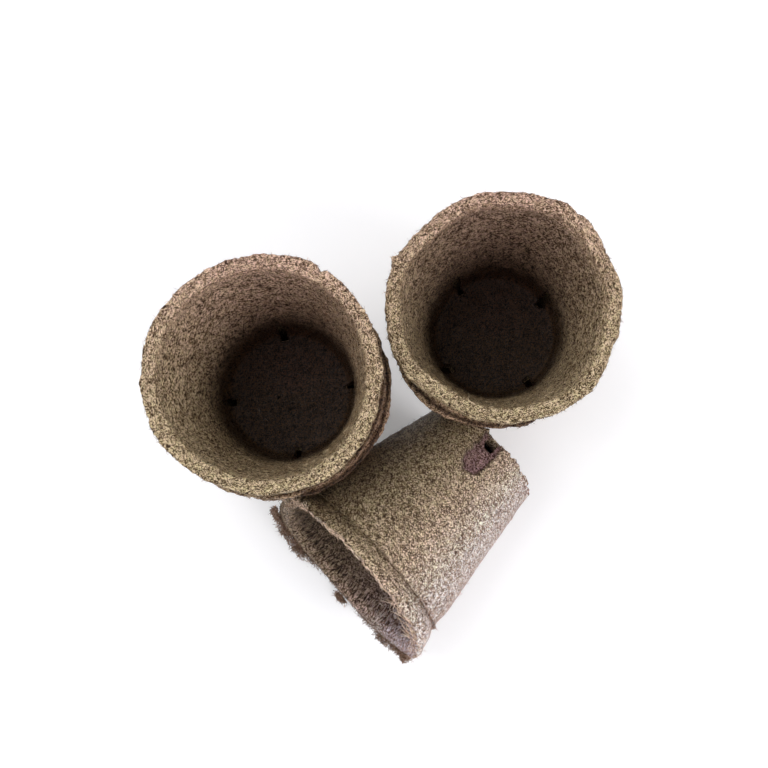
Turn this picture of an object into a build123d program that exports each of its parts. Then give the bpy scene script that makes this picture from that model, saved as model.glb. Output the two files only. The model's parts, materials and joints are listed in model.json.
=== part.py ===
from build123d import *
from math import atan2, cos, degrees, radians, sin, sqrt, tan
import os

# Driving dimensions of one moulded pot, in millimetres
rim_diameter = 60.0
base_diameter = 38.5
height = 48.5
wall = 1.4
floor_thickness = 2.2

# The thick rim: how far it stands out from the wall, and how deep it is
lip_overhang = 2.2
lip_height = 2.6

# Rounding of the pressed edges, and of the corner between wall and floor inside
edge_round = 1.0
inner_corner_round = 3.0

# Drain slots at the foot of the wall, open through the base edge: each is a shallow pressed
# recess with a narrower slit through its middle
slot_count = 4
recess_width = 7.0
recess_height = 14.0
recess_depth = 0.8
slit_width = 4.0
slit_height = 10.5

# Air between the walls of two pots that stand one inside the other
nest_clearance = 0.35

# The two lying pots are a little smaller than the standing ones, in every length
lying_share = 0.94

# Air between neighbours: rims of the standing nests, lying rim and left nest,
# lying base and right nest
standing_gap = 2.2
lying_gap = 0.5
base_gap = 1.0

# How far sideways the right nest stands from the line of the lying nest
right_shift = 22.5

# Every cut runs this far past the face that it opens
overrun = 2.0
full_turn = 360.0
right_angle = 90.0

# Steps up a pot at which the nests are kept apart, and passes that settle their places
station_count = 40
settling_passes = 12

# Sizes that follow from one pot
rim_radius = rim_diameter / 2
base_radius = base_diameter / 2
wall_top_radius = rim_radius - lip_overhang
draft = atan2(wall_top_radius - base_radius, height)
wall_across = wall / cos(draft)
lip_underside = height - lip_height
full_rim_level = lip_underside + edge_round
nest_pitch = (wall + nest_clearance) / sin(draft)


def wall_radius(level):
    """Outer radius of the plain wall at a height above the base."""
    return base_radius + level * tan(draft)


def nest_radius(level):
    """Radius of the room that a nest takes at a height above its base."""
    return rim_radius if level >= full_rim_level else wall_radius(level)


def half_chord(radius, offset):
    """Half the width of a circle at a distance from its centre."""
    return sqrt(max(radius**2 - offset**2, 0))


# A pot on its side rests on the rounded edge of its base and the rounded back of its rim
rim_round_radius = rim_radius - edge_round
base_round_radius = base_radius - edge_round / tan((radians(right_angle) + draft) / 2)
lean = atan2(rim_round_radius - base_round_radius, lip_underside)
rest_height = lying_share * (base_round_radius * cos(lean) - edge_round * sin(lean) + edge_round)
lying_length = lying_share * (height + nest_pitch)


def lying_flank():
    """Places along one flank of the lying nest: ahead of its base, above the floor, out sideways."""
    stations = [full_rim_level * (step / station_count) for step in range(2 * station_count + 1)]
    places = []
    for station in stations:
        reach = lying_share * station
        ring_radius = lying_share * nest_radius(station)
        for level in stations:
            rise = (level - rest_height - reach * sin(lean)) / cos(lean)
            if reach <= lying_length and abs(rise) < ring_radius:
                ahead = reach * cos(lean) - rise * sin(lean)
                places.append((ahead, level, half_chord(ring_radius, rise)))
    return places


# The right nest stands just behind the base of the lying nest
flank = lying_flank()
right_behind_base = max(
    half_chord(nest_radius(level) + base_gap, max(right_shift - sideways, 0)) - ahead
    for ahead, level, sideways in flank
)

# The nests lean on one another for their places, so these settle over a few passes:
# the right nest against the left rims, then the lying nest against the left nest
lying_spacing = rim_diameter
for settling_pass in range(settling_passes):
    standing_spacing = half_chord(rim_diameter + standing_gap, lying_spacing - right_shift)
    left_ahead_of_base = standing_spacing - right_behind_base
    lying_spacing = lying_gap + max(
        sideways + half_chord(nest_radius(level), ahead - left_ahead_of_base)
        for ahead, level, sideways in flank
    )

# The origin lies on the floor, under the middle of the box round all three nests
lying_mouth_rise = rim_round_radius * sin(lean) - edge_round * cos(lean) + edge_round
lying_mouth_reach = lying_length * cos(lean) - left_ahead_of_base + lying_share * lying_mouth_rise
low_x = -max(rim_radius, lying_mouth_reach)
high_x = standing_spacing + rim_radius
left_x = -(low_x + high_x) / 2
left_y = (lying_spacing + lying_share * rim_radius - rim_radius) / 2
right_x = left_x + standing_spacing
lying_base_x = left_x + left_ahead_of_base
lying_y = left_y - lying_spacing
right_y = lying_y + right_shift

left_seat = Plane(origin=(left_x, left_y, 0))
right_seat = Plane(origin=(right_x, right_y, 0))
lying_seat = Plane(
    origin=(lying_base_x, lying_y, rest_height),
    x_dir=(sin(lean), 0, cos(lean)),
    z_dir=(-cos(lean), 0, sin(lean)),
)

# Each nest: its seat, the share of the full size that its pots have, and outermost pot
# first, the turn of each pot's slots in degrees
nests = {
    "left": (left_seat, 1, {"outer": 20, "middle": 82, "inner": 54}),
    "right": (right_seat, 1, {"outer": 30, "inner": -8}),
    "lying": (lying_seat, lying_share, {"outer": -3, "inner": 44}),
}


def round_topped_strip(width, height):
    """The outline of a recess or slit, from below the base edge up to a round top."""
    straight = height - width / 2
    with Locations((0, (straight - overrun) / 2)):
        Rectangle(width, straight + overrun)
    with Locations((0, straight)):
        Circle(width / 2)


def moulded_pot(slot_turn):
    """One full-size pot, with its base on the floor at the origin and its mouth up."""
    inner_rim_radius = wall_top_radius - wall_across
    inner_floor_radius = wall_radius(floor_thickness) - wall_across
    with BuildPart() as pot:
        with BuildSketch(Plane.XZ):
            with BuildLine():
                outline = FilletPolyline(
                    (0, 0),
                    (base_radius, 0),
                    (wall_radius(lip_underside), lip_underside),
                    (rim_radius, lip_underside),
                    (rim_radius, height),
                    (inner_rim_radius, height),
                    (inner_floor_radius, floor_thickness),
                    (0, floor_thickness),
                    radius=[edge_round, 0, edge_round, edge_round, edge_round, inner_corner_round],
                )
                Line(outline @ 1, outline @ 0)
            make_face()
        revolve(axis=Axis.Z)

        # Each slot is cut from a plane that lies under the wall, at the depth of the recess
        recess_start = base_radius - recess_depth / cos(draft)
        for slot in range(slot_count):
            turn = radians(slot_turn + slot * full_turn / slot_count)
            outward = Vector(cos(turn), sin(turn), 0)
            sideways = Vector(-sin(turn), cos(turn), 0)
            out_of_wall = outward * cos(draft) - Vector(0, 0, sin(draft))
            slot_plane = Plane(outward * recess_start, x_dir=sideways, z_dir=out_of_wall)
            with BuildSketch(slot_plane):
                round_topped_strip(recess_width, recess_height)
            extrude(amount=overrun, mode=Mode.SUBTRACT)
            with BuildSketch(slot_plane):
                round_topped_strip(slit_width, slit_height)
            extrude(amount=overrun, both=True, mode=Mode.SUBTRACT)
    return pot.part


os.makedirs("parts", exist_ok=True)
for nest, (seat, share, slot_turns) in nests.items():
    for level, (place, slot_turn) in enumerate(slot_turns.items()):
        name = f"{nest}_{place}_pot"
        pot_seat = seat.offset(level * share * nest_pitch)
        pot = pot_seat.location * scale(moulded_pot(slot_turn), by=share)
        pot.label = name
        export_step(pot, f"parts/{name}.step")

print("nest pitch", nest_pitch, "lean in degrees", degrees(lean))
print("left", left_x, left_y, "right", right_x, right_y)
print("lying base", lying_base_x, lying_y, rest_height)
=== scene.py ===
# %% [markdown]
# # Seven pressed peat pots, nested in three groups
#
# The real objects are small seedling pots, moulded wet from peat and wood fibre and then dried.
# The looks come from rough fibre, ragged rims and a speckle of pale, brown and nearly black
# bits. Each cell below makes one step of that, on top of the exact solids of the CAD model.

# %% Load the fixed frame
import itertools
import json

import bpy
import numpy as np
from mathutils import Matrix, Vector


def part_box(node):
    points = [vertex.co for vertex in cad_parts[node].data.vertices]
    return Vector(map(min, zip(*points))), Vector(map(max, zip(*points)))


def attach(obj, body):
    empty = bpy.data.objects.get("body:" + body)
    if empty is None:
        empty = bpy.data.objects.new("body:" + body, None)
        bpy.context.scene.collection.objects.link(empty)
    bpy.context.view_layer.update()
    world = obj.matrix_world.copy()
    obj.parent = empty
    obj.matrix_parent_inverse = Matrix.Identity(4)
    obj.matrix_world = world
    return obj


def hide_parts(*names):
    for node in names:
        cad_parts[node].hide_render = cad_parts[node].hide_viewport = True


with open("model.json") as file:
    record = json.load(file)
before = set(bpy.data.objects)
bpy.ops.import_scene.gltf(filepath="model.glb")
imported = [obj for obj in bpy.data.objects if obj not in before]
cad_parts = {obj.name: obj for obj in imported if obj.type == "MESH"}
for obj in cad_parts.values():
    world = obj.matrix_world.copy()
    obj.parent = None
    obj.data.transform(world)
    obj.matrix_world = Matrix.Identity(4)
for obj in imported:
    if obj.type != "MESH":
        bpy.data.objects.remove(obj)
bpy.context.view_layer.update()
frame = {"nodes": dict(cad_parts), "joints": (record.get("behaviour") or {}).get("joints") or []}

# %% [markdown]
# ## The sizes of one pot
#
# Blender works in metres and pot makers in millimetres, so each size is written in millimetres
# and multiplied by one named value. The rim and the height are read from the CAD box of a
# standing pot. The other sizes are the ones that the CAD model was drawn with.

# %% Sizes of one pot
mm = 0.001
low, high = (np.array(corner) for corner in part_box("left_inner_pot"))
rim_radius = (high - low)[0] / 2
height = (high - low)[2]
base_radius, wall, floor_thickness = 19.25 * mm, 1.4 * mm, 2.2 * mm
lip_overhang, lip_height = 2.2 * mm, 2.6 * mm
slot_count = 4
recess_width, recess_height, recess_depth = 7.0 * mm, 14.0 * mm, 0.8 * mm
slit_width, slit_height, slit_reach = 4.0 * mm, 10.5 * mm, 2.0 * mm
print("rim radius", rim_radius, "height", height)

# %% Sizes that follow
wall_top_radius = rim_radius - lip_overhang
flare = (wall_top_radius - base_radius) / height
wall_across = wall * np.sqrt(1 + flare**2)
lip_underside = height - lip_height
inner_floor_radius = base_radius + floor_thickness * flare - wall_across
slit_start = base_radius - recess_depth - slit_reach
print("wall flare", flare, "inner floor radius", inner_floor_radius)

# %% [markdown]
# ## Smooth random values
#
# Everything rough on these pots needs random values that change smoothly from place to place.
# A lattice of random numbers gives them. One call handles all vertices of a pot, and a seed
# makes it the same in each run.

# %% Lattice noise
lattice_cells = 32


def lattice_noise(places, grain, seed):
    """Random values from -1 to 1 that change smoothly over the distance of one grain.

    Each place is blended from the corners of its lattice cube, each with the product of
    3t^2 - 2t^3 along the three edges.
    """
    table = np.random.default_rng(seed).uniform(-1, 1, (lattice_cells,) * 3)
    scaled = np.asarray(places) / grain
    cell = np.floor(scaled).astype(int)
    part = scaled - cell
    part = part * part * (3 - 2 * part)
    total = 0
    for corner in itertools.product((0, 1), repeat=3):
        index = (cell + corner) % lattice_cells
        weight = np.prod(np.where(corner, part, 1 - part), axis=-1)
        total = total + weight * table[index[..., 0], index[..., 1], index[..., 2]]
    return total


def smooth_step(value, start, end):
    """0 before start and 1 after end, with an S-shaped rise between."""
    part = np.clip((value - start) / (end - start), 0, 1)
    return part * part * (3 - 2 * part)


def ring_places(angle):
    """Places on a flat ring of radius 1 round the axis of a pot."""
    return np.stack([np.cos(angle), np.sin(angle), 0 * angle], axis=-1)


# %% [markdown]
# ## The profile of the wall
#
# A pot is a surface of revolution, so half of its cross-section is enough. Its outer and inner
# sides run together from the middle of the base, round the foot and up the wall. Both are
# functions of one path length that is zero at the foot. That pairing makes the drain slots
# easy: a hole is the same patch taken out of both sides.

# %% Outer and inner side
foot_round, inner_foot_round = 0.6 * mm, 1.8 * mm


def rounded_bend(path, softness):
    """Split a path length at a bend into the part before it and the part after it.

    The part after is (d + sqrt(d^2 + s^2)) / 2, so the bend has a round of about s.
    """
    after = (path + np.sqrt(path**2 + softness**2)) / 2
    return path - after, after


def outer_side(path):
    """Radius and level of the outer side: along the base, then up the flared wall."""
    before, after = rounded_bend(path, foot_round)
    return np.maximum(base_radius + before + after * flare, 0), after


def inner_side(path):
    """Radius and level of the inner side: along the floor, then up inside the wall."""
    before, after = rounded_bend(path, inner_foot_round)
    level = after + floor_thickness * np.clip(1 - after / recess_height, 0, 1)
    flat = inner_floor_radius * (1 + before / base_radius)
    return np.maximum(flat + (level - floor_thickness) * flare, 0), level


print("wall radius at the top, outside and inside", outer_side(height)[0], inner_side(height)[0])

# %% [markdown]
# ## The rim
#
# The thick rim joins the two sides. It is a plain polyline, sampled finely, and each sample is
# replaced by the mean of its neighbours. That rounds the corners just as wet pulp slumps over
# the edge of a mould.

# %% Rim section
rim_spacing, fine_spacing, rim_round = 0.36 * mm, 0.05 * mm, 1.1 * mm


def rim_section():
    """Radius and level along the rim, from the outer wall over the top to the inner wall."""
    outer_end = np.array(outer_side(lip_underside))
    inner_end = np.array(inner_side(lip_underside))
    corners = np.array([
        outer_end - (rim_round * flare, rim_round),
        outer_end,
        (rim_radius, lip_underside),
        (rim_radius, height),
        (wall_top_radius - wall_across, height),
        inner_end,
        inner_end - (rim_round * flare, rim_round),
    ])
    lengths = np.hypot(*np.diff(corners, axis=0).T)
    along = np.concatenate([[0], np.cumsum(lengths)])
    fine = np.arange(0, along[-1], fine_spacing)
    line = np.stack([np.interp(fine, along, corner) for corner in corners.T])
    window = int(rim_round / fine_spacing)
    soft = np.stack([np.convolve(row, np.ones(window) / window, "valid") for row in line])
    step = int(rim_spacing / fine_spacing)
    return soft[:, step::step]


rim_rows = rim_section()
print("rim rows", rim_rows.shape[1], "widest", rim_rows[0].max())

# %% [markdown]
# ## The grid of one pot
#
# Rows follow the section and columns go round. The foot has closer rows than the wall because
# the slots are cut there. Near a slot, each grid point slides along the surface onto the
# slot's outline, so the cut follows its true line and not the steps of the grid.

# %% Rows and columns
column_count = 440
base_spacing, foot_spacing, wall_spacing = 2.0 * mm, 0.5 * mm, 0.75 * mm
first_ring, slot_margin = 0.8 * mm, 2.0 * mm
foot_start = slit_start - slot_margin - base_radius
foot_end = recess_height + slot_margin
wall_end = lip_underside - rim_round

stations = np.concatenate([
    np.arange(first_ring - base_radius, foot_start, base_spacing),
    np.arange(foot_start, foot_end, foot_spacing),
    np.arange(foot_end, wall_end, wall_spacing),
])
station_count = len(stations)
row_count = 2 * station_count + rim_rows.shape[1]
column_angles = np.arange(column_count) / column_count * 2 * np.pi
print("rows", row_count, "columns", column_count, "triangles", 2 * row_count * column_count)

# %% Slots on the grid
slot_rag, slot_grain = 0.8 * mm, 1.6 * mm
slide_limit, shortest_spread = 0.16 * mm, 0.0008 * mm
slot_pitch = 2 * np.pi / slot_count
print("slots", slot_count, "of pitch in degrees", np.degrees(slot_pitch))


def strip_distance(angles, path, turn, seed, width, top):
    """Distance to the nearest round-topped strip, less than zero in it, and the way out of it.

    The distance is the length of (sideways, height above the straight part) less half the
    width, with noise that leaves the outline ragged. The way out is a part across and a part
    up. The radius follows, and its part towards the slot.
    """
    radius, level = outer_side(path)
    from_slot = (angles - turn + slot_pitch / 2) % slot_pitch - slot_pitch / 2
    sideways = radius * np.sin(from_slot)
    above = np.maximum(level - top + width / 2, 0)
    spread = np.maximum(np.hypot(sideways, above), shortest_spread)
    places = np.stack([radius * np.cos(angles), radius * np.sin(angles), level], axis=-1)
    distance = spread - width / 2 + slot_rag * lattice_noise(places, slot_grain, seed)
    return distance, sideways / spread, above / spread, radius, radius * np.cos(from_slot)


def slide_to_slits(angles, path, turn, settings):
    """Grid places moved onto the outlines of the slits, and which grid cells lie in a slit."""
    width, top = settings["slit"] * mm, settings["web"] * mm
    seed = settings["seed"]
    strip, across, up, radius, outward = strip_distance(angles, path, turn, seed, width, top)
    start = slit_start - outward
    distance = np.maximum(strip, start)
    near = np.abs(distance) < slide_limit
    slide = np.where(near, distance, 0)
    on_strip = strip >= start
    slid_angles = angles - np.where(on_strip, slide * across / np.maximum(radius, first_ring), 0)
    slid_path = path - np.where(on_strip, slide * up, -slide)
    left = np.where(near, 0, distance)
    corners = left + np.roll(left, -1, axis=1)
    cut = (corners[:-1] + corners[1:]) < 0
    return slid_angles, slid_path, cut


# %% [markdown]
# ## Faces of one pot
#
# The cut cells are left out of the outer side and of the inner side, and each edge that they
# leave open is joined across the wall by one face. Both ends of the section stop at a small
# ring, which a single point closes. That keeps the surface whole, with no open seams.

# %% Faces from the cut grid
def kept_cells(cut):
    """Which cells of the whole grid keep their face: the cut leaves both sides open."""
    kept = np.ones((row_count - 1, column_count), bool)
    kept[: station_count - 1] = ~cut
    kept[row_count - station_count:] = ~cut[::-1]
    return kept


def pot_faces(cut):
    """Quads and triangles of a pot's closed surface, as vertex numbers, outwards.

    Vertex numbers run row by row. The two closing points follow the last row.
    """
    kept = kept_cells(cut)
    number = np.arange(row_count * column_count).reshape(row_count, column_count)
    after = np.roll(number, -1, axis=1)
    cells = np.stack([number[:-1], after[:-1], after[1:], number[1:]], axis=-1)
    quads = [cells[kept]]

    outer, outer_after = number[:station_count], after[:station_count]
    inner, inner_after = number[::-1][:station_count], after[::-1][:station_count]
    side = (outer_after[:-1], outer_after[1:], inner_after[1:], inner_after[:-1])
    end = (outer_after[1:-1], outer[1:-1], inner[1:-1], inner_after[1:-1])
    cut_after = np.roll(cut, -1, axis=1)
    for corners, here, beyond in ((side, cut, cut_after), (end, cut[:-1], cut[1:])):
        cheeks = np.stack(corners, axis=-1)
        quads += [cheeks[here & ~beyond], cheeks[~here & beyond][:, [1, 0, 3, 2]]]

    count = row_count * column_count
    base_fan = np.stack([after[0], number[0], np.full(column_count, count)], axis=-1)
    floor_fan = np.stack([number[-1], after[-1], np.full(column_count, count + 1)], axis=-1)
    return np.concatenate(quads), np.concatenate([base_fan, floor_fan])


# %% Mesh from arrays
smooth_angle = np.radians(50)


def new_object(name, data):
    """An object in the scene that shows a mesh, a lamp or a camera."""
    made_object = bpy.data.objects.new(name, data)
    bpy.context.scene.collection.objects.link(made_object)
    return made_object


def make_piece(name, places, quads, triangles, chart=None):
    """A mesh object from arrays, without the vertices that no face uses.

    A chart gives the place on the flat fibre pattern of each corner of each face.
    """
    corners = np.concatenate([quads.ravel(), triangles.ravel()])
    used, faces = np.unique(corners, return_inverse=True)
    after_quads = quads.size + np.arange(len(triangles)) * 3
    starts = np.concatenate([np.arange(len(quads)) * 4, after_quads])
    mesh = bpy.data.meshes.new(name)
    mesh.vertices.add(len(used))
    mesh.vertices.foreach_set("co", places[used].astype(np.float32).ravel())
    mesh.loops.add(len(faces))
    mesh.loops.foreach_set("vertex_index", faces.ravel().astype(np.int32))
    mesh.polygons.add(len(starts))
    mesh.polygons.foreach_set("loop_start", starts.astype(np.int32))
    mesh.update(calc_edges=True)
    mesh.polygons.foreach_set("use_smooth", np.ones(len(starts), bool))
    mesh.set_sharp_from_angle(angle=smooth_angle)
    if chart is not None:
        flat = np.concatenate([chart(quads).reshape(-1, 2), chart(triangles).reshape(-1, 2)])
        layer = mesh.uv_layers.new(name="fibre")
        layer.uv.foreach_set("vector", flat.astype(np.float32).ravel())
    return new_object(name, mesh), used


def store(piece, name, values):
    """A named value at each vertex, which a material can read."""
    layer = piece.data.attributes.new(name, "FLOAT", "POINT")
    layer.data.foreach_set("value", np.asarray(values, np.float32))


# %% [markdown]
# ## Where each pot sits
#
# The CAD box of a node says how far the pot reaches along each axis. A surface of revolution
# reaches a known distance from the middle of its base, so the place of the base follows. The
# lying pots lean along the axis of the joint that draws one out of the other.

# %% Seats from the CAD boxes
lying_share = 0.94
lying_axis = next(j["axis"] for j in frame["joints"] if j["name"] == "lying_inner_pull")
upright = (0.0, 0.0, 1.0)


def seat(node, axis, share):
    """The middle of a pot's base, found from the CAD box of its node, and its axes and share.

    Along each axis of the frame a ring at a level reaches level x a + radius x sqrt(1 - a^2),
    where a is the part of the pot's own axis in that direction.
    """
    low, high = (np.array(corner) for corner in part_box(node))
    axis = np.array(axis, float)
    outer = np.stack(outer_side(stations))
    radius, level = np.concatenate([outer, rim_rows], axis=1) * share
    reach = level[:, None] * axis + radius[:, None] * np.sqrt(1 - axis**2)
    back = level[:, None] * axis - radius[:, None] * np.sqrt(1 - axis**2)
    base = ((high - reach.max(axis=0)) + (low - back.min(axis=0))) / 2
    first = np.array([axis[2], 0, -axis[0]])
    return base, np.stack([first, np.cross(axis, first), axis]), share


seats = {}
for node in sorted(frame["nodes"]):
    lying = node.startswith("lying")
    seats[node] = seat(node, lying_axis if lying else upright, lying_share if lying else 1)
    print(node, "base at", np.round(seats[node][0] / mm, 3), "axis", np.round(seats[node][1][2], 4))


def set_down(node, places):
    """Places on an upright pot at the origin, carried to its seat, and none below the floor."""
    base, axes, share = seats[node]
    placed = base + (places * share) @ axes
    placed[:, 2] = np.maximum(placed[:, 2], 0)
    return placed


# %% [markdown]
# ## Where the finish changes, and where light and shade are painted
#
# Four masks go with each pot, for its material to read. Painted shade darkens the foot of the
# inside, a share of the whole inside, a thin line round each recess, a lower rim where the rim
# above stands, and the lying pots outside, on the side away from their painted light. Painted
# side light tints one side: lighter on the lying pots, violet and darker inside on the standing
# pots, and darker on the lower pots, whose rims peep out. The rim is painted paler, a painted
# highlight where loose fibre ends catch the light. Violet is a painted violet shade in the
# recess of a drain slot, and a tint of the tufts and of the lying pot's inside. Masks on the
# vertices cost nothing to draw and stay with the piece when it is exported.

# %% Masks for the finish
# Most of these shape the painted shade. Bend is a slightly paler ring of it where the floor
# meets the wall. Dusk is a fainter painted shade that reaches higher. Dim lies all over the
# inside, and ends under the rim. A painted shadow line goes round each recess, and a painted
# shadow lies on a lower rim where the rim above stands.
painted_shade_grain, painted_shade_rag, painted_shade_foot = 4.0 * mm, 1.5 * mm, 5.0 * mm
bend_top, bend_share = 4.5 * mm, 0.07
dusk_top, dusk_share, dusk_painted_side = 34.0 * mm, 0.08, 0.35
dim_start, dim_end = 45.0 * mm, 46.5 * mm
recess_shadow_width, recess_shadow_depth = 0.45 * mm, 0.6
rim_shadow_inset, rim_shadow_width, rim_shadow_depth = 1.0 * mm, 0.75 * mm, 0.95
recess_slope = 0.5 * mm
print("gloom from", painted_shade_foot, "dusk up to", dusk_top)


def finish_masks(settings, ring, radius, level, inside, on_rim, recess):
    """Painted shade, painted side light, the rim with its painted sheen, and violet at each grid
    place, from 0 to 1.

    Painted side light is a power of half of 1 + cosine from the pot's painted side. Painted shade
    falls with the level inside. It also draws a soft painted shadow line,
    exp(-(distance / width)^2), round each recess and where the rim above stands on this one, and
    it lies thinly outside, opposite the painted side.
    """
    around = ring * rim_radius
    rag = lattice_noise(around + level[..., None], painted_shade_grain, settings["seed"])
    ragged = level + painted_shade_rag * rag - settings["painted_shade_rise"] * mm
    foot = 1 - smooth_step(ragged, painted_shade_foot, settings["painted_shade_top"] * mm)
    foot = foot * (1 - bend_share * smooth_step(level, floor_thickness, bend_top))
    dusk = 1 - smooth_step(level, painted_shade_foot, dusk_top)
    facing = np.radians(settings["painted_side_light"])
    toward = ring[..., 0] * np.cos(facing) + ring[..., 1] * np.sin(facing)
    painted_side_light = ((1 + toward) / 2) ** settings["painted_side_light_power"]
    share = dusk_share + dusk_painted_side * painted_side_light
    foot = (1 - share) * foot + share * dusk
    dim = settings["dim"] + (settings["dim_painted_side"] - settings["dim"]) * painted_side_light
    dim = dim * (1 - smooth_step(level, dim_start, dim_end))
    # A painted shadow line round each recess.
    line = recess_shadow_depth * np.exp(-((recess / recess_shadow_width) ** 2))
    # A painted shadow on a lower rim, where the rim of the pot above stands.
    off_rim_shadow = (rim_radius - rim_shadow_inset - radius) / rim_shadow_width
    rim_shadow = rim_shadow_depth * settings["rim_shadow"] * on_rim * np.exp(-off_rim_shadow**2)
    # Painted shade outside the lying pots, on the side away from their painted light.
    outside = ~inside * settings["shaded"] * ((1 - toward) / 2) ** 2
    return {
        "painted_shade": np.maximum.reduce([inside * (dim + (1 - dim) * foot), line, rim_shadow, outside]),
        "painted_side_light": painted_side_light,
        "rim_and_sheen": on_rim,
        # Violet: a painted violet shade in each recess, and a tint all over the inside of the lying
        # pot.
        "violet_shade_and_tint": np.maximum(smooth_step(-recess, 0, recess_slope), settings["rosy"] * inside),
    }


# %% [markdown]
# ## The shape of each pot
#
# No two pressed pots are equally round. Each has its own slight lobes and a rim that stands a
# little to one side, as in the photograph, where the lower rims of each nest peep out on one
# side only. The upper side of the lying rim is torn down. All of it fades towards the base, so
# the nests still fit. One table holds what differs, so that one function makes all seven.

# %% Character of each pot
# Angles are in degrees round the pot and lengths are in millimetres.
# Place: turn is where the slots are, and shift is the rim's step and its direction.
# Outline: each lobe is a count, a swell and a direction, and each dent on the rim is a
# direction, a swell and a width in degrees. Slump is how far the rim is torn down.
# Rim: lip is the share of the overhang that it keeps, bell is the share that the wall below
# takes up, thin is taken off its edge, and foot_rag is how ragged the base edge is.
# Slits: slit and web are how wide and how high they are open.
# Painted shade: painted_shade_top is where the dark foot ends, and painted_shade_rise raises
# it. dim and dim_painted_side are its shares all over the inside, away from and on the painted
# side. rim_shadow is the share of the painted shadow where a rim stands on this one, and shaded
# is the share of painted shade outside.
# Side tint: painted_side_light, painted_side_light_power and painted_side_light_tint are the
# direction, sharpness and colour of the painted side, painted light on the lying pots and
# painted shade on the others. Colour: rosy is the violet tint all over the inside, and tone is
# added to every shade.
# Fibre: fibres is how many lie on the pot, and stretch is how closely the pattern lies inside,
# round the pot and along it.
plain_pot = dict(
    shift=(0, 0), dents=(), slump=0, lip=1, bell=0.3, thin=0, foot_rag=0.2,
    slit=slit_width / mm, web=slit_height / mm,
    painted_shade_top=19, painted_shade_rise=0, dim=0.02, dim_painted_side=0.12, rim_shadow=0, shaded=0,
    painted_side_light_power=2, painted_side_light_tint=(1.10, 0.95, 1.14, 1), rosy=0, tone=0,
    fibres=9000, stretch=(0.7, 0.5),
)
# On the lower pots the side tint is darker, painted shade on the rims that peep out. On the lying
# pots it is lighter, painted light on their lit side.
hidden_pot = dict(lip=0.9, painted_shade_top=32, rim_shadow=1, painted_side_light_tint=(0.88, 0.70, 0.72, 1), fibres=2500)
lying_pot = dict(painted_side_light=-90, painted_side_light_power=3.5, painted_side_light_tint=(2.45, 2.3, 3.4, 1), shaded=0.5)

pots = {
    "left_outer": dict(
        hidden_pot, turn=20, painted_side_light=-80, seed=11, shift=(1.6, -95),
        lobes=((2, 0.3, 10), (3, 0.3, 60)),
    ),
    "left_middle": dict(
        hidden_pot, turn=82, painted_side_light=-80, seed=12, shift=(0.8, -90),
        lobes=((2, 0.3, 40), (5, 0.2, 0)),
    ),
    "left_inner": dict(
        turn=54, painted_side_light=47, seed=13, slit=2.4, web=7.5, painted_shade_rise=2, tone=-0.05,
        dents=((17, -1.1, 1.6), (24, 0.4, 3)), lobes=((2, 0.3, 100), (3, 0.3, 20)),
    ),
    "right_outer": dict(
        hidden_pot, turn=30, painted_side_light=-120, seed=14, shift=(0.9, -125),
        lobes=((3, 0.4, 70), (4, 0.2, 10)),
    ),
    "right_inner": dict(
        turn=-8, painted_side_light=47, seed=15, slit=2.8, web=8.5, tone=-0.08, dim_painted_side=0.42,
        shift=(0.7, -43), dents=((112, 0.9, 1.5),), lobes=((3, 0.5, 20), (7, 0.35, 13)),
    ),
    "lying_outer": dict(
        lying_pot, turn=-3, seed=16, lip=0, bell=0, thin=1.0, painted_shade_top=32, foot_rag=1.0,
        web=5.0, tone=-0.18, lobes=((2, 0.2, 90), (3, 0.2, 0)),
    ),
    "lying_inner": dict(
        lying_pot, turn=44, seed=17, bell=1, dim=0.55, dim_painted_side=0.5, tone=-0.16, slump=4.5,
        rosy=0.45, stretch=(1, 1), fibres=4500, lobes=((2, 0.2, 0), (3, 0.2, 40)),
    ),
}
pots = {name: {**plain_pot, **settings} for name, settings in pots.items()}
print("pots", len(pots), "settings of each", len(pots["left_inner"]))

# %% [markdown]
# ## Rough walls and ragged edges
#
# Pressed fibre is rough at every size, from slow waves in the rim to single grains. Each size
# is a noise with its own grain and depth. It is real shape, so that the outline is rough too.

# %% Roughness of the surface
coarse_grain, coarse_depth = 3.2 * mm, 0.16 * mm
fine_grain, fine_depth = 0.9 * mm, 0.08 * mm
rim_grain, rim_depth = 0.9 * mm, 0.28 * mm
edge_grain, edge_depth = 4.0 * mm, 0.4 * mm
wave_grain, wave_height = 9.0 * mm, 0.35 * mm
foot_grain, foot_fade = 1.5 * mm, 2.5 * mm
bell_start, bell_end = 37.2 * mm, 42.2 * mm
thin_start = 43.0 * mm
slump_start, slump_grain, slump_rag = 40.0 * mm, 1.6 * mm, 0.6 * mm
slump_facing, slump_open, slump_full = 10, -0.3, 0.9
coarse_seed, fine_seed, rim_seed = 20, 40, 60
lobe_fading, half_turn, shortest_length = 2.0, 180, 1e-12
print("deepest of the wall", coarse_depth + fine_depth, "and of the rim", rim_depth + edge_depth)


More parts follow.
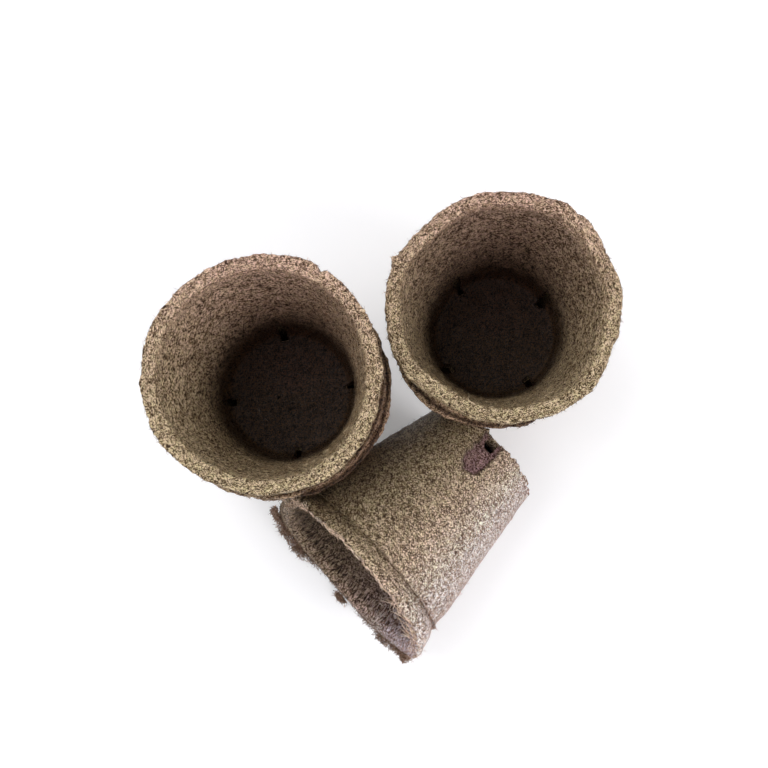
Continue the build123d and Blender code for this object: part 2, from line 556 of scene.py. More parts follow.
def shaped_radius(settings, angle, radius, level, inside, on_rim):
    """Radius at each grid place, with the pot's own lip, bell, lobes, dents and ragged edge.

    Outside, the part beyond the plain wall is scaled by the lip. Lobes add size x cosine, and
    dents add size x exp(-(angle / width)^2).
    """
    plain = base_radius + level * flare
    radius = radius - np.where(inside, 0, np.maximum(radius - plain, 0)) * (1 - settings["lip"])
    belled = plain + lip_overhang * settings["bell"] * smooth_step(level, bell_start, bell_end)
    in_bell = ~inside & (level > bell_start) & (radius > plain - foot_round)
    radius = np.where(in_bell, np.maximum(radius, belled), radius)
    through = np.clip(1 + (radius - plain) / wall_across, 0, 1)
    radius = radius - settings["thin"] * mm * through * smooth_step(level, thin_start, height)

    around = ring_places(angle) * rim_radius
    ragged = edge_depth * lattice_noise(around, edge_grain, settings["seed"])
    for facing, size, width in settings["dents"]:
        off = (np.degrees(angle) - facing + half_turn) % (2 * half_turn) - half_turn
        ragged = ragged + size * mm * np.exp(-((off / width) ** 2))
    swell = on_rim * ~inside * ragged
    for count, size, facing in settings["lobes"]:
        swell = swell + size * mm * np.cos(count * (angle - np.radians(facing)))
    fade = np.clip(level / height, 0, 1) ** lobe_fading
    return radius + swell * fade * smooth_step(radius, 0, base_radius), around


def sunk_rim(settings, angle, level):
    """How far a rim is torn down at an angle and a level.

    It is the slump with some noise, times an S-shaped rise in the cosine from the torn side,
    times one in the level.
    """
    side = smooth_step(np.cos(angle - np.radians(slump_facing)), slump_open, slump_full)
    rag = lattice_noise(ring_places(angle) * rim_radius, slump_grain, settings["seed"])
    ragged = settings["slump"] * mm + slump_rag * rag
    return (settings["slump"] > 0) * ragged * side * smooth_step(level, slump_start, height)


# %% Surface of one pot
def surface_normals(places):
    """Unit normals of a grid that closes round its columns: the cross product of its steps."""
    along = np.roll(places, -1, axis=1) - np.roll(places, 1, axis=1)
    normal = np.cross(along, np.gradient(places, axis=0))
    return normal / np.maximum(np.linalg.norm(normal, axis=-1, keepdims=True), shortest_length)


def pot_surface(settings):
    """Grid of places on one upright pot at the origin, its cut cells and its masks.

    The section is carried round the axis. Then the recesses are pressed in, and every point
    moves along its normal by the noises of the fibre.
    """
    turn, seed = np.radians(settings["turn"]), settings["seed"]
    angles, path = np.meshgrid(column_angles, stations)
    strip, _, _, _, outward = strip_distance(angles, path, turn, seed, recess_width, recess_height)
    strip = np.maximum(strip, base_radius - recess_depth - outward)
    angles, path, cut = slide_to_slits(angles, path, turn, settings)
    outer, inner = np.stack(outer_side(path)), np.stack(inner_side(path))
    rim = np.repeat(rim_rows[:, :, None], column_count, axis=2)
    radius, level = np.concatenate([outer, rim, inner[:, ::-1]], axis=1)
    rim_angles = np.repeat(column_angles[None], rim.shape[1], axis=0)
    angle = np.concatenate([angles, rim_angles, angles[::-1]])
    inside = np.arange(row_count)[:, None] > row_count / 2
    recess = np.concatenate([strip, np.full((row_count - station_count, column_count), height)])

    on_rim = smooth_step(level, lip_underside - rim_round, lip_underside + rim_round)
    radius, around = shaped_radius(settings, angle, radius, level, inside, on_rim)
    ring = around / rim_radius
    places = ring * radius[..., None]
    places[..., 2] = level + on_rim * wave_height * lattice_noise(around, wave_grain, seed)
    places[..., 2] -= sunk_rim(settings, angle, level)
    amount, facing = settings["shift"]
    places += on_rim[..., None] * amount * mm * ring_places(np.radians(facing))

    normal = surface_normals(places)
    rough = coarse_depth * lattice_noise(places, coarse_grain, seed + coarse_seed)
    rough += fine_depth * lattice_noise(places, fine_grain, seed + fine_seed)
    rough += on_rim * rim_depth * lattice_noise(places, rim_grain, seed + rim_seed)
    rough *= smooth_step(level + inside * height, 0, foot_round)
    at_foot = ~inside * smooth_step(radius, slit_start, base_radius)
    at_foot = at_foot * (1 - smooth_step(level, 0, foot_fade))
    rough += settings["foot_rag"] * mm * at_foot * lattice_noise(around, foot_grain, seed)
    masks = finish_masks(settings, ring, radius, level, inside, on_rim, recess)
    rough -= smooth_step(-recess, 0, recess_slope) * recess_depth
    return places + normal * rough[..., None], cut, masks


# %% [markdown]
# ## Wiring materials by script
#
# A material is a tree of nodes. A few small helpers keep the script readable: one makes a node
# with its inputs filled or linked, and the others use it for the steps that come up often.

# %% Node helpers
middle = 0.5


def add_node(tree, kind, inputs, **settings):
    """A shader node with its settings, and its inputs set to a value or linked to a socket."""
    node = tree.nodes.new(f"ShaderNode{kind}")
    for setting, value in settings.items():
        setattr(node, setting, value)
    for key, value in inputs.items():
        if isinstance(value, bpy.types.NodeSocket):
            tree.links.new(value, node.inputs[key])
        else:
            node.inputs[key].default_value = value
    return node


def arithmetic(tree, operation, *values):
    """The result of one Math node."""
    inputs = dict(enumerate(values))
    return add_node(tree, "Math", inputs, operation=operation).outputs[0]


def ramp(tree, value, start, end):
    """0 before start, 1 after end, with an S-shaped rise between."""
    inputs = {"Value": value, "From Min": start, "From Max": end}
    return add_node(tree, "MapRange", inputs, interpolation_type="SMOOTHSTEP").outputs[0]


def blend_colours(tree, factor, first, second, blend_type="MIX"):
    """Two colours blended by a factor. A Mix node's colours are its inputs 6 and 7, output 2."""
    inputs = {0: factor, 6: first, 7: second}
    settings = dict(data_type="RGBA", blend_type=blend_type, clamp_result=True)
    return add_node(tree, "Mix", inputs, **settings).outputs[2]


def noise(tree, place, scale, detail, **settings):
    """The outputs of a Noise texture."""
    inputs = {"Vector": place, "Scale": scale, "Detail": detail}
    return add_node(tree, "TexNoise", inputs, **settings).outputs


def flat_cells(tree, place, scale):
    """The distance to the nearest cell of a flat cell noise, and three random parts for each."""
    inputs = {"Vector": place, "Scale": scale}
    cells = add_node(tree, "TexVoronoi", inputs, voronoi_dimensions="2D").outputs
    return cells["Distance"], add_node(tree, "SeparateColor", {"Color": cells["Color"]}).outputs


def swing(tree, value, strength):
    """A random value from 0 to 1, less its middle, times a strength."""
    return arithmetic(tree, "MULTIPLY", arithmetic(tree, "SUBTRACT", value, middle), strength)


def solid_place(tree):
    """Places in the piece's own metres."""
    return add_node(tree, "TexCoord", {}).outputs["Object"]


def mask(tree, name):
    """A named value that the mesh carries."""
    return add_node(tree, "Attribute", {}, attribute_name=name).outputs["Fac"]


def new_group(name, inputs, outputs):
    """An empty node group with named sockets, and its two end nodes."""
    group = bpy.data.node_groups.new(name, "ShaderNodeTree")
    for socket_name, kind in inputs.items():
        group.interface.new_socket(socket_name, in_out="INPUT", socket_type=f"NodeSocket{kind}")
    for socket_name, kind in outputs.items():
        group.interface.new_socket(socket_name, in_out="OUTPUT", socket_type=f"NodeSocket{kind}")
    ends = group.nodes.new("NodeGroupInput"), group.nodes.new("NodeGroupOutput")
    return group, ends[0].outputs, ends[1].inputs


# %% [markdown]
# ## The colours of peat
#
# The pot and its loose fibres share one set of colours. A shade from 0 to 1 picks a colour
# between dark, middle and pale. Then the masks of the pot tint it with painted side light, with
# violet, which is painted shade in the recesses and a tint elsewhere, and with painted shade.

# %% Group for the colours of peat
dark_peat = (0.042, 0.024, 0.014, 1)
middle_peat = (0.250, 0.170, 0.088, 1)
pale_peat = (0.760, 0.620, 0.410, 1)
brown_start, brown_full = -0.1, 0.42
straw_start, straw_full = 0.55, 1.0
# The violet is a painted violet shade in the recesses, and a tint inside the lying pot and on the
# tufts. The dark tint is painted shade.
violet_tint, painted_shade_tint = (0.56, 0.44, 0.62, 1), (0.085, 0.055, 0.040, 1)
olive_cast, rosy_cast = (0.97, 1.0, 0.92, 1), (1.05, 0.97, 1.0, 1)
cast_scale, cast_detail, cast_start, cast_full = 800.0, 2.0, 0.35, 0.65

tree, given, result = new_group(
    "peat colour",
    {"Shade": "Float", "Mauve tint": "Color", "Painted_Side_Light": "Float", "Violet_Shade_And_Tint": "Float", "Painted_Shade": "Float"},
    {"Color": "Color"},
)
browned = ramp(tree, given["Shade"], brown_start, brown_full)
colour = blend_colours(tree, browned, dark_peat, middle_peat)
strawed = ramp(tree, given["Shade"], straw_start, straw_full)
colour = blend_colours(tree, strawed, colour, pale_peat)
wander = noise(tree, solid_place(tree), cast_scale, cast_detail)[0]
drifted = ramp(tree, wander, cast_start, cast_full)
cast = blend_colours(tree, drifted, olive_cast, rosy_cast)
colour = blend_colours(tree, 1.0, colour, cast, "MULTIPLY")
tints = {"Painted_Side_Light": given["Mauve tint"], "Violet_Shade_And_Tint": violet_tint, "Painted_Shade": painted_shade_tint}
for key, tint in tints.items():
    colour = blend_colours(tree, given[key], colour, tint, "MULTIPLY")
tree.links.new(colour, result["Color"])
colour_group = tree
print("colour group sockets", len(tree.interface.items_tree))

# %% [markdown]
# ## One layer of chopped fibres
#
# Cell noise on stretched coordinates gives short dashes, one to a cell, each with its own
# random shade. That is what chopped fibre looks like when it is pressed flat. Such layers at
# different slants cross each other without any direction winning.

# %% Group for a layer of fibres
dash_edge, dash_core = 0.6, 0.4
tree, given, result = new_group(
    "fibre layer",
    {"Place": "Vector", "Slant": "Float", "Length": "Float", "Width": "Float"},
    {"Shade": "Float", "Lift": "Float"},
)
inputs = {"Vector": given["Place"], "Angle": given["Slant"]}
slanted = add_node(tree, "VectorRotate", inputs, rotation_type="Z_AXIS").outputs[0]
shrink = add_node(tree, "CombineXYZ", {
    "X": arithmetic(tree, "DIVIDE", 1.0, given["Length"]),
    "Y": arithmetic(tree, "DIVIDE", 1.0, given["Width"]),
}).outputs[0]
stretched = add_node(tree, "VectorMath", {0: slanted, 1: shrink}, operation="MULTIPLY").outputs[0]
distance, random_parts = flat_cells(tree, stretched, 1.0)
dash = ramp(tree, distance, dash_edge, dash_core)
tree.links.new(swing(tree, random_parts[0], dash), result["Shade"])
tree.links.new(arithmetic(tree, "MULTIPLY", random_parts[1], dash), result["Lift"])
layer_group = tree
print("layer group nodes", len(tree.nodes))

# %% [markdown]
# ## Pressed peat
#
# The finish of the solid wall is one group, so that all seven pots share it. It stirs the flat
# places a little, lays layers of fibre over each other, and adds scattered black crumbs of
# bark. Their sum is the shade that the colours are picked by.

# %% Group for pressed peat
tree, given, result = new_group(
    "pressed peat",
    {"Place": "Vector", "Object": "Vector", "Rim_And_Sheen": "Float"},
    {"Shade": "Float", "Height": "Float", "Roughness": "Float"},
)
stir_scale, stir_amount, plain_detail = 0.25, 0.7, 1.0
stir = noise(tree, given["Place"], stir_scale, plain_detail, noise_dimensions="2D")["Color"]
step = add_node(tree, "VectorMath", {0: stir, "Scale": stir_amount}, operation="SCALE").outputs[0]
stirred = add_node(tree, "VectorMath", {0: given["Place"], 1: step}, operation="ADD").outputs[0]

# Slant in degrees, length and width of a fibre's cell in millimetres, and strength
fibre_layers = (
    (35, 0.7, 0.18, 1.7), (-48, 0.6, 0.16, 1.7), (88, 0.5, 0.20, 1.4), (-8, 0.8, 0.17, 1.6),
)
shade, lift = middle, 0.0
for slant, length, width, strength in fibre_layers:
    inputs = {"Place": stirred, "Slant": np.radians(slant), "Length": length, "Width": width}
    layer = add_node(tree, "Group", inputs, node_tree=layer_group).outputs
    part = arithmetic(tree, "MULTIPLY", layer["Shade"], strength)
    shade = arithmetic(tree, "ADD", shade, part)
    lift = arithmetic(tree, "MAXIMUM", lift, layer["Lift"])

grit_scale, grit_height, cloud_scale, cloud_strength = 3200.0, 0.8, 90.0, 0.25
grit = noise(tree, given["Object"], grit_scale, plain_detail)[0]
cloud = noise(tree, given["Object"], cloud_scale, plain_detail)[0]
# The rim is painted paler: a painted highlight where loose fibre ends catch the light.
sheen_lift, crumb_drop = 0.08, -0.6
rim_and_sheen = arithmetic(tree, "MULTIPLY", given["Rim_And_Sheen"], sheen_lift)

crumb_spacing, crumb_reach, crumb_share = 0.5, 0.5, 0.4
distance, random_parts = flat_cells(tree, stirred, crumb_spacing)
chosen = arithmetic(tree, "SUBTRACT", random_parts[0], 1 - crumb_share)
crumb_size = arithmetic(tree, "MULTIPLY", chosen, crumb_reach)
near_crumb = arithmetic(tree, "LESS_THAN", distance, crumb_size)
dark_crumb = arithmetic(tree, "MULTIPLY", near_crumb, crumb_drop)
swings = [swing(tree, grit, 1.0), swing(tree, cloud, cloud_strength)]
for part in (*swings, rim_and_sheen, dark_crumb):
    shade = arithmetic(tree, "ADD", shade, part)
grit_lift = arithmetic(tree, "MULTIPLY", grit, grit_height)
glossy_shade, rough_shade = 2.0, -1.5
tree.links.new(shade, result["Shade"])
tree.links.new(arithmetic(tree, "ADD", lift, grit_lift), result["Height"])
tree.links.new(ramp(tree, shade, glossy_shade, rough_shade), result["Roughness"])
peat_group = tree
print("peat group nodes", len(tree.nodes))

# %% [markdown]
# ## Two materials for each pot
#
# The moulding wears pressed peat, and its loose fibres wear the same colours without the
# pattern, because each strand is too thin to show one. Each pot has its own pair, so that its
# tone and tint can differ, but the groups that they are built from are shared.

# %% Material of one pot
specular_level, strand_swing = 0.2, 0.5
bump_strength, bump_distance = 0.8, 0.25 * mm


def masked_colour(tree, shade, settings):
    """The colour of peat at a shade, with the masks that the mesh carries."""
    toned = arithmetic(tree, "ADD", shade, settings["tone"])
    inputs = {"Shade": toned, "Mauve tint": settings["painted_side_light_tint"]}
    inputs |= {key.title(): mask(tree, key) for key in ("painted_side_light", "violet_shade_and_tint", "painted_shade")}
    return add_node(tree, "Group", inputs, node_tree=colour_group).outputs["Color"]


def new_material(name):
    """A matt material, with its tree and its shader node."""
    material = bpy.data.materials.new(name)
    material.use_nodes = True
    shader = material.node_tree.nodes["Principled BSDF"]
    shader.inputs["Specular IOR Level"].default_value = specular_level
    return material, material.node_tree, shader


def peat_material(name, settings):
    """Pressed peat on the moulding of one pot, with its own masks."""
    material, tree, shader = new_material(name)
    flat = add_node(tree, "UVMap", {}, uv_map="fibre").outputs[0]
    inputs = {"Place": flat, "Object": solid_place(tree), "Rim_And_Sheen": mask(tree, "rim_and_sheen")}
    peat = add_node(tree, "Group", inputs, node_tree=peat_group).outputs
    relief = {"Height": peat["Height"], "Strength": bump_strength, "Distance": bump_distance}
    bump = add_node(tree, "Bump", relief)
    tree.links.new(masked_colour(tree, peat["Shade"], settings), shader.inputs["Base Color"])
    tree.links.new(peat["Roughness"], shader.inputs["Roughness"])
    tree.links.new(bump.outputs[0], shader.inputs["Normal"])
    return material


def fibre_material(name, settings):
    """Straw to dark fibres: each strand carries its own shade, and grit varies it a little."""
    material, tree, shader = new_material(name)
    grit = noise(tree, solid_place(tree), grit_scale, plain_detail)[0]
    shade = arithmetic(tree, "ADD", mask(tree, "shade"), swing(tree, grit, strand_swing))
    tree.links.new(masked_colour(tree, shade, settings), shader.inputs["Base Color"])
    tree.links.new(ramp(tree, shade, glossy_shade, rough_shade), shader.inputs["Roughness"])
    return material


# %% [markdown]
# ## A flat chart of the surface
#
# The fibre pattern needs flat places in millimetres that follow the surface. The wall unrolls
# into a strip that starts again after one turn, so each face takes its own corners and none is
# smeared across the join. The base and the floor keep their plain places across.

# %% Chart of one pot
# In millimetres: the radius that the wall unrolls at, and the jump from pot to pot, so that
# no two pots show the same part of the pattern.
chart_radius, chart_jump = 25.0, 37.0
print("pattern round the wall in millimetres", 2 * np.pi * chart_radius)


def pot_chart(settings, places):
    """A function from faces, as vertex numbers, to the flat places of their corners.

    On the wall: turn times a middle radius, and the length along the section. The cheeks of a
    slot, which join the outer side to the inner side, run on from the outer side.
    """
    steps = np.linalg.norm(np.diff(places[:, 0], axis=0), axis=-1) / mm
    along = np.concatenate([[0], np.cumsum(steps)])
    across = np.concatenate([places.reshape(-1, 3)[:, :2] / mm, np.zeros((2, 2))])
    foot_row = np.searchsorted(stations, 0)

    def chart(faces):
        row, column = np.divmod(np.minimum(faces, row_count * column_count - 1), column_count)
        wraps = np.ptp(column, axis=1, keepdims=True) > column_count / 2
        column = column + column_count * (wraps & (column < column_count / 2))
        far_row = row_count - 1 - row
        cheek = np.ptp(row, axis=1, keepdims=True) > 1
        inner = row > far_row
        length = along[np.where(cheek & inner, far_row, row)] + cheek * inner * wall / mm
        strip = np.stack([column / column_count * 2 * np.pi * chart_radius, length], axis=-1)
        inside = ~cheek & (row.min(axis=1, keepdims=True) >= row_count - station_count)
        flat = ~cheek & (np.minimum(row, far_row).max(axis=1, keepdims=True) <= foot_row)
        strip = strip * np.where(inside[..., None], settings["stretch"], 1)
        return np.where(flat[..., None], across[faces], strip) + settings["seed"] * chart_jump

    return chart


# %% [markdown]
# ## The seven mouldings
#
# Each pot is built upright at the origin and then carried to its seat. Its moulding stands in
# for the plain solid of the CAD model, and moves with it.

# %% Build the seven pots
made = {}
for name, settings in pots.items():
    places, cut, masks = pot_surface(settings)
    centres = np.array([places[0].mean(axis=0), places[-1].mean(axis=0)])
    flat = np.concatenate([places.reshape(-1, 3), centres])
    quads, triangles = pot_faces(cut)
    chart = pot_chart(settings, places)
    placed = set_down(f"{name}_pot", flat)
    piece, used = make_piece(f"{name}_moulding", placed, quads, triangles, chart)
    for key, values in masks.items():
        ends = [values[0, 0], values[-1, 0]]
        store(piece, key, np.concatenate([values.ravel(), ends])[used])
    piece.data.materials.append(peat_material(f"{name}_peat", settings))
    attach(piece, name)
    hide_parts(f"{name}_pot")
    made[name] = (places, kept_cells(cut), masks)
    print(name, "triangles", 2 * len(quads) + len(triangles))

# %% [markdown]
# ## Loose fibres
#
# The pots are felted with fibre. Thousands of short strands lie on every wall, and some stand
# out of the rims. Each strand is a thin three-sided taper along a bent line, which is enough
# at this size. All strands of one pot are one piece, made in one sweep of arrays.

# %% Strands along bent lines
strand_sides, flat_steps, curled_steps = 3, 3, 4
tip_share = 0.25


def strand_points(roots, headings, sides, lengths, thickness, steps):
    """Vertices of tapered strands, as strand, step and corner.

    Along a strand the line is root + length x (t x heading + t^2 x side). The radius falls as
    1 - 0.75 t^2, and a triangle is carried along the line.
    """
    headings = headings / np.linalg.norm(headings, axis=1, keepdims=True)
    t = np.linspace(0, 1, steps)[None, :, None]
    line = roots[:, None] + lengths[:, None, None] * (t * headings[:, None] + t**2 * sides[:, None])
    first = np.cross(headings, sides)
    first /= np.linalg.norm(first, axis=1, keepdims=True)
    second = np.cross(headings, first)
    turn = np.arange(strand_sides) / strand_sides * 2 * np.pi
    ring = np.cos(turn)[:, None] * first[:, None] + np.sin(turn)[:, None] * second[:, None]
    radius = thickness[:, None, None] * (1 - (1 - tip_share) * t**2)
    return line[:, :, None] + radius[..., None] * ring[:, None]


def strand_faces(points, start):
    """Quads along the sides of the strands, and a triangle over each end, from a start number."""
    number = start + np.arange(np.prod(points.shape[:3])).reshape(points.shape[:3])
    after = np.roll(number, -1, axis=2)
    quads = np.stack([number[:, :-1], after[:, :-1], after[:, 1:], number[:, 1:]], axis=-1)
    return quads.reshape(-1, 4), np.concatenate([number[:, 0, ::-1], number[:, -1]])


# %% Strands that lie on the surface
# Lengths are in millimetres, and a shade is a mean and a spread. Lift is the share of the
# normal in a strand's heading.
rim_crowding = 2.5
standing_part, standing_lift, lying_lift = 0.12, (0.3, 1.2), 0.08
felt_length, felt_thickness, felt_bend = (0.5, 1.7), (0.04, 0.08), 0.35
felt_shade, palest_felt = (0.55, 0.27), 1.1


def felt(settings, places, kept, masks, random):
    """Strands that lie on a pot, evenly over its surface but closer on the rim.

    Each heading is a random tangent with a small part of the normal. A few stand out more.
    Returns their points, their shades and the grid places where they grow.
    """
    along = np.roll(places, -1, axis=1) - places
    area = np.linalg.norm(np.cross(along, np.gradient(places, axis=0)), axis=-1)
    area = area * (1 + rim_crowding * masks["rim_and_sheen"])
    area[:-1] *= kept
    count = settings["fibres"]
    chances = (area / area.sum()).ravel()
    grown = np.unravel_index(random.choice(area.size, count, p=chances), area.shape)
    roots, normal = places[grown], surface_normals(places)[grown]
    tangent = np.cross(normal, random.normal(size=normal.shape))
    tangent /= np.linalg.norm(tangent, axis=1, keepdims=True)
    standing = random.random(count) < standing_part
    lift = np.where(standing, random.uniform(*standing_lift, count), lying_lift)
    headings = tangent + lift[:, None] * normal
    sides = np.cross(tangent, normal) * felt_bend * random.normal(size=(count, 1))
    lengths = random.uniform(*felt_length, count) * mm
    thickness = random.uniform(*felt_thickness, count) * mm
    points = strand_points(roots, headings, sides, lengths, thickness, flat_steps)
    return points, np.clip(random.normal(*felt_shade, count), 0, palest_felt), grown


print("most strands on one pot", max(settings["fibres"] for settings in pots.values()))

# %% [markdown]
# ## Torn fibre on the lying rim
#
# The far side of the lying rim is torn into brushy tufts, and its near edge is pale with loose
# strands, a few of which curl across the mouth. They are the same strands as on the walls, but
# the tufts root in clouds along the rim and bend more, so that they read as brush.

# %% Tufts on the lying rim
# Each tuft: its angle round the pot and spread in degrees, its strands, where it starts beyond
# the rim, and how far it spreads beyond it and out from it in millimetres. The last but one is
# a clump that hangs below the mouth, and the last is thin fuzz all along.
tufts = np.array([
    (97, 3, 260, 0.1, 1.3, 0.8), (109, 4, 520, 0.1, 1.3, 0.8), (126, 5, 900, 0.1, 1.8, 1.0),
    (143, 5, 1000, 0.1, 1.9, 1.1), (155, 4, 140, 0.1, 0.8, 0.6), (205, 5, 200, 0.1, 0.9, 0.6),
    (222, 4, 520, 0.1, 1.5, 0.9), (237, 4, 420, 0.1, 1.1, 0.9), (251, 3, 560, 0.1, 1.5, 0.9),
    (184, 2.0, 800, 1.0, 0.8, 1.2), (180, 45, 200, 0.1, 0.5, 0.4),
])
cloud_limit, out_share, beyond_share = 1.8, 0.6, 0.8
root_inset, root_drop = 0.2 * mm, 0.4 * mm
tuft_length, tuft_thickness = (0.3, 0.9), (0.05, 0.17)
tuft_rise, tuft_bend, tuft_shade = 0.5, 0.6, (0.58, 0.22)
print("strands in the tufts", int(tufts[:, 2].sum()))


def tuft_strands(random):
    """Curled strands of the tufts: points and shades.

    They root in a cloud round the outer edge of the rim, so a tuft is densest in its middle.
    """
    facing, spread, _, start, beyond, out = np.repeat(tufts, tufts[:, 2].astype(int), axis=0).T
    count = len(facing)
    around = ring_places(np.radians(facing + spread * random.normal(size=count)))
    cloud = np.minimum(np.abs(random.normal(size=(2, count))), cloud_limit) * mm
    roots = around * (rim_radius - root_inset + out * cloud[0] * out_share)[:, None]
    roots[:, 2] = height - root_drop + start * mm + beyond * cloud[1] * beyond_share
    headings = random.normal(size=roots.shape) + (0, 0, tuft_rise)
    sides = tuft_bend * random.normal(size=roots.shape)
    thickness = random.uniform(*tuft_thickness, count) * mm
    lengths = random.uniform(*tuft_length, count) * mm
    points = strand_points(roots, headings, sides, lengths, thickness, curled_steps)
    return points, np.clip(random.normal(*tuft_shade, count), 0, 1)


# %% Pale strands on the near edge
# The first of each pair is for the strands that curl across the mouth, and the second for those
# along the edge: their angles round the pot in degrees, their lengths in millimetres, how much
# they bend, and how thick they are.
edge_strands, crossing_strands = 1200, 30
edge_angles, edge_lengths = ((292, 335), (-85, 85)), ((2.0, 4.5), (0.6, 1.6))
edge_bends, edge_thickness = (0.6, 0.25), (0.13, 0.12)
crossing_sway, edge_lean = 0.5, 0.15

# Ranges for all of them: how far below the top of the rim they root, and their shade
edge_drop, edge_shade = (-0.3, 0.4), (0.8, 1.1)
print("strands on the near edge", edge_strands + crossing_strands)


def edge_curls(settings, random):
    """Pale strands along the near edge of the lying rim, and some that curl across its end."""
    count = edge_strands + crossing_strands
    crossing = np.arange(count) >= edge_strands

    def either(across, along):
        return np.where(crossing, random.uniform(*across, count), random.uniform(*along, count))

    angle = np.radians(either(*edge_angles))
    around = ring_places(angle)
    inner_edge = wall_top_radius - wall_across
    radius = np.where(crossing, inner_edge, random.uniform(inner_edge, rim_radius, count))
    roots = around * radius[:, None]
    roots[:, 2] = height - random.uniform(*edge_drop, count) * mm
    roots[:, 2] -= sunk_rim(settings, angle, roots[:, 2])
    sway = random.normal(size=(count, 1)) * np.cross(upright, around)
    chosen = crossing[:, None]
    headings = np.where(chosen, crossing_sway * sway - around, sway + edge_lean * around)
    sides = np.where(chosen, *edge_bends) * random.normal(size=roots.shape)
    lengths = either(*edge_lengths) * mm
    thickness = np.where(crossing, *edge_thickness) * mm
    points = strand_points(roots, headings, sides, lengths, thickness, curled_steps)
    return points, random.uniform(*edge_shade, count)


# %% [markdown]
# ## Crumbs, and all the fibre together
#
# A few dark crumbs lie on the floor of the left cup: short strands, heaped round three places.
# Then each pot gets one piece that holds all of its loose fibre.

# %% Loose crumbs on a floor
# Places across the pot, in millimetres from its middle.
crumb_places = np.array([(-3.6, 1.6), (-3.4, -3.4), (8.3, 14.8)])
crumb_bits, crumb_spread = 30, (0.6, 0.3, 0.4)
bit_flattening, bit_bend = (1, 1, 0.3), 0.4
bit_length, bit_thickness = (0.3, 0.7), (0.08, 0.15)
print("bits in the crumbs", crumb_bits * len(crumb_places))


def floor_crumbs(random):
    """Dark bits heaped round a few places on the floor of a standing pot."""
    heaps = np.repeat(crumb_places, crumb_bits, axis=0) * mm
    count = len(heaps)
    roots = np.concatenate([heaps, np.full((count, 1), floor_thickness)], axis=1)
    roots += np.abs(random.normal(size=roots.shape)) * crumb_spread * mm
    headings = random.normal(size=roots.shape) * bit_flattening
    sides = bit_bend * random.normal(size=roots.shape)
    lengths = random.uniform(*bit_length, count) * mm
    thickness = random.uniform(*bit_thickness, count) * mm
    return strand_points(roots, headings, sides, lengths, thickness, flat_steps), np.zeros(count)


# %% Fibres of the seven pots
# Masks of the strands that don't lie on a wall, and so can't take them from it. The crumbs take
# full painted shade. The tufts take the violet tint and some of the side tint, for their pinkish
# colour, and the edge strands take more of the side tint, as a painted highlight.
crumb_masks, tuft_masks, edge_masks = {"painted_shade": 1}, {"violet_shade_and_tint": 0.45, "painted_side_light": 0.2}, {"painted_side_light": 0.3}
for name, settings in pots.items():
    places, kept, masks = made[name]
    random = np.random.default_rng(settings["seed"])
    points, shades, grown = felt(settings, places, kept, masks, random)
    felt_masks = {key: masks[key][grown] for key in ("painted_shade", "painted_side_light", "violet_shade_and_tint")}
    batches = [(points, shades, felt_masks)]
    if name == "left_inner":
        batches.append((*floor_crumbs(random), crumb_masks))
    if name == "lying_inner":
        batches.append((*tuft_strands(random), tuft_masks))
        batches.append((*edge_curls(settings, random), edge_masks))

    start, faces, carried = 0, [], {key: [] for key in ("shade", "painted_shade", "painted_side_light", "violet_shade_and_tint")}
    for points, shades, own in batches:
        faces.append(strand_faces(points, start))
        start += points.size // 3
        for key, values in carried.items():
            each = {"shade": shades, **own}.get(key, 0) * np.ones(len(points))
            values.append(np.repeat(each, points[0].size // 3))
    flat = np.concatenate([points.reshape(-1, 3) for points, _, _ in batches])
    quads, ends = (np.concatenate(part) for part in zip(*faces))
    fibres, _ = make_piece(f"{name}_fibres", set_down(f"{name}_pot", flat), quads, ends)
    for key, values in carried.items():
        store(fibres, key, np.concatenate(values))
    fibres.data.materials.append(fibre_material(f"{name}_strands", settings))
    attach(fibres, name)
    print(name, "fibre triangles", 2 * len(quads) + len(ends))

# %% [markdown]
# ## Floor, light and camera
#
# The photograph looks almost straight down. Its light is soft and comes from the upper left,
# with some from the lower right, and the white ground keeps only the soft shadow between the
# nests. A large square lamp on each side and a pale world give the same.

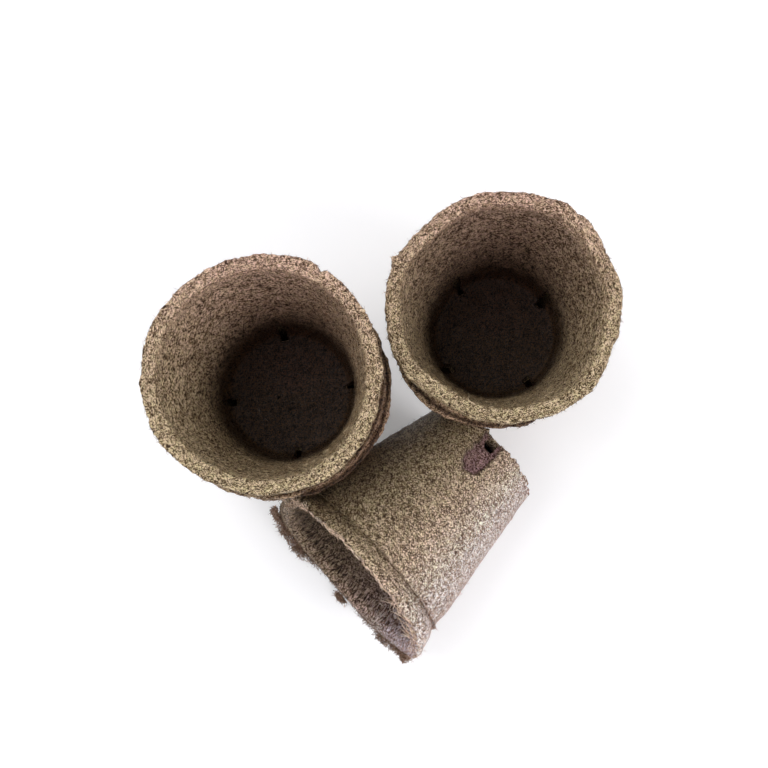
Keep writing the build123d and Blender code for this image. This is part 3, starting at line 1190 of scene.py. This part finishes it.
# %% Floor and backdrop
floor_size, floor_colour, glow_strength = 3.0, (0.90, 0.90, 0.93, 1), 0.2
white = (1, 1, 1, 1)
floor_mesh = bpy.data.meshes.new("floor")
floor_mesh.from_pydata(
    [(x * floor_size, y * floor_size, 0) for x, y in ((-1, -1), (1, -1), (1, 1), (-1, 1))],
    [], [(0, 1, 2, 3)],
)
floor_paint = bpy.data.materials.new("white ground")
floor_paint.use_nodes = True
tree = floor_paint.node_tree
tree.nodes.clear()
path_of_light = add_node(tree, "LightPath", {}).outputs
seen = arithmetic(tree, "MAXIMUM", path_of_light["Is Camera Ray"], path_of_light["Is Glossy Ray"])
seen = arithmetic(tree, "MAXIMUM", seen, path_of_light["Is Transmission Ray"])
seen_glow = arithmetic(tree, "MULTIPLY", seen, glow_strength)
plain = add_node(tree, "BsdfDiffuse", {"Color": floor_colour})
glow = add_node(tree, "Emission", {"Color": white, "Strength": seen_glow})
both = add_node(tree, "AddShader", {0: plain.outputs[0], 1: glow.outputs[0]})
add_node(tree, "OutputMaterial", {"Surface": both.outputs[0]})
floor_mesh.materials.append(floor_paint)
floor = new_object("floor", floor_mesh)

# %% Camera
photo_size = 768
focal_pixels = 1005.5
eye = Vector((-16.4, -32.7, 310.7)) * mm
looking = Vector((0.0362, 0.1381, -0.9897)).normalized()
picture_up = Vector((0.6867, 0.7161, 0.1250)).normalized()

camera_data = bpy.data.cameras.new("camera")
camera_data.lens = focal_pixels / photo_size * camera_data.sensor_width
camera = new_object("camera", camera_data)
right = looking.cross(picture_up).normalized()
up = right.cross(looking)
turned = Matrix((right, up, -looking)).transposed().to_4x4()
camera.matrix_world = Matrix.Translation(eye) @ turned
bpy.context.scene.camera = camera
print("camera at", eye[:], "lens", camera_data.lens)

# %% Light
world_strength = 0.66
world = bpy.data.worlds.new("studio")
bpy.context.scene.world = world
world.use_nodes = True
background = world.node_tree.nodes["Background"].inputs
background["Color"].default_value = white
background["Strength"].default_value = world_strength
bpy.context.scene.view_settings.view_transform = "Standard"

# Place and size of each lamp in metres, and its power in watts
lamps = {"key": ((-0.1, 0.32, 0.6), 0.5, 1.8), "fill": ((0.12, -0.5, 0.34), 0.4, 1.8)}
for name, (place, size, power) in lamps.items():
    data = bpy.data.lights.new(name, "AREA")
    data.size, data.energy = size, power
    turned = Vector(place).to_track_quat("Z", "Y").to_matrix().to_4x4()
    new_object(name, data).matrix_world = Matrix.Translation(place) @ turned
    print(name, "lamp in watts", power)
